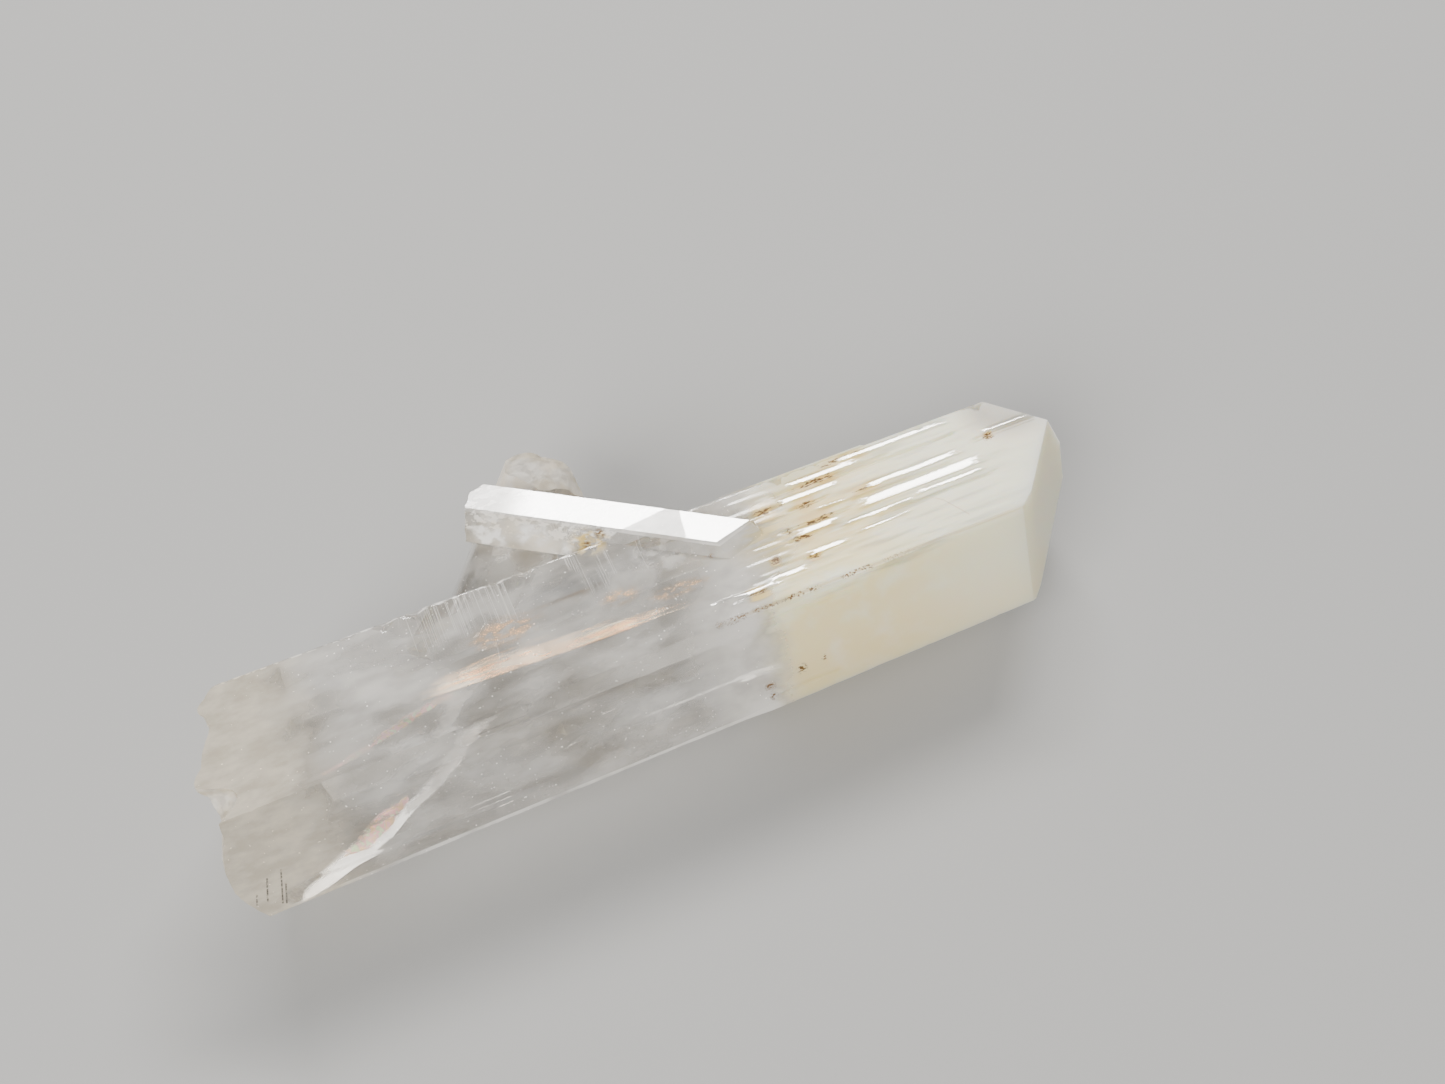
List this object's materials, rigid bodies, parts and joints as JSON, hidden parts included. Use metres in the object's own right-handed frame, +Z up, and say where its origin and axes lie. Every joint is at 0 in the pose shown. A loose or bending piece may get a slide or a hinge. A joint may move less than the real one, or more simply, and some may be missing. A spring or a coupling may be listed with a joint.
{
  "type": "mango quartz crystal",
  "caption": "Six-sided quartz crystal lying on a prism face, clear at its broken base and milky cream-yellow at its pointed end, with small side crystals grown through it.",
  "frame": {"origin": "middle of the prism face that the main crystal rests on, half way across its width", "axes": "+X along the main crystal's long axis from its broken base to its terminated end, +Y towards the side crystals, +Z up"},
  "size_m": [0.0522, 0.0209, 0.0119],
  "materials": {
    "quartz": "clear colourless quartz at the base passing into milky cream-yellow at the tip, glossy prism faces, frosted breaks, rust-brown iron specks in the growth ledges"
  },
  "bodies": {
    "root": {"crystal": "quartz"}
  },
  "joints": []
}
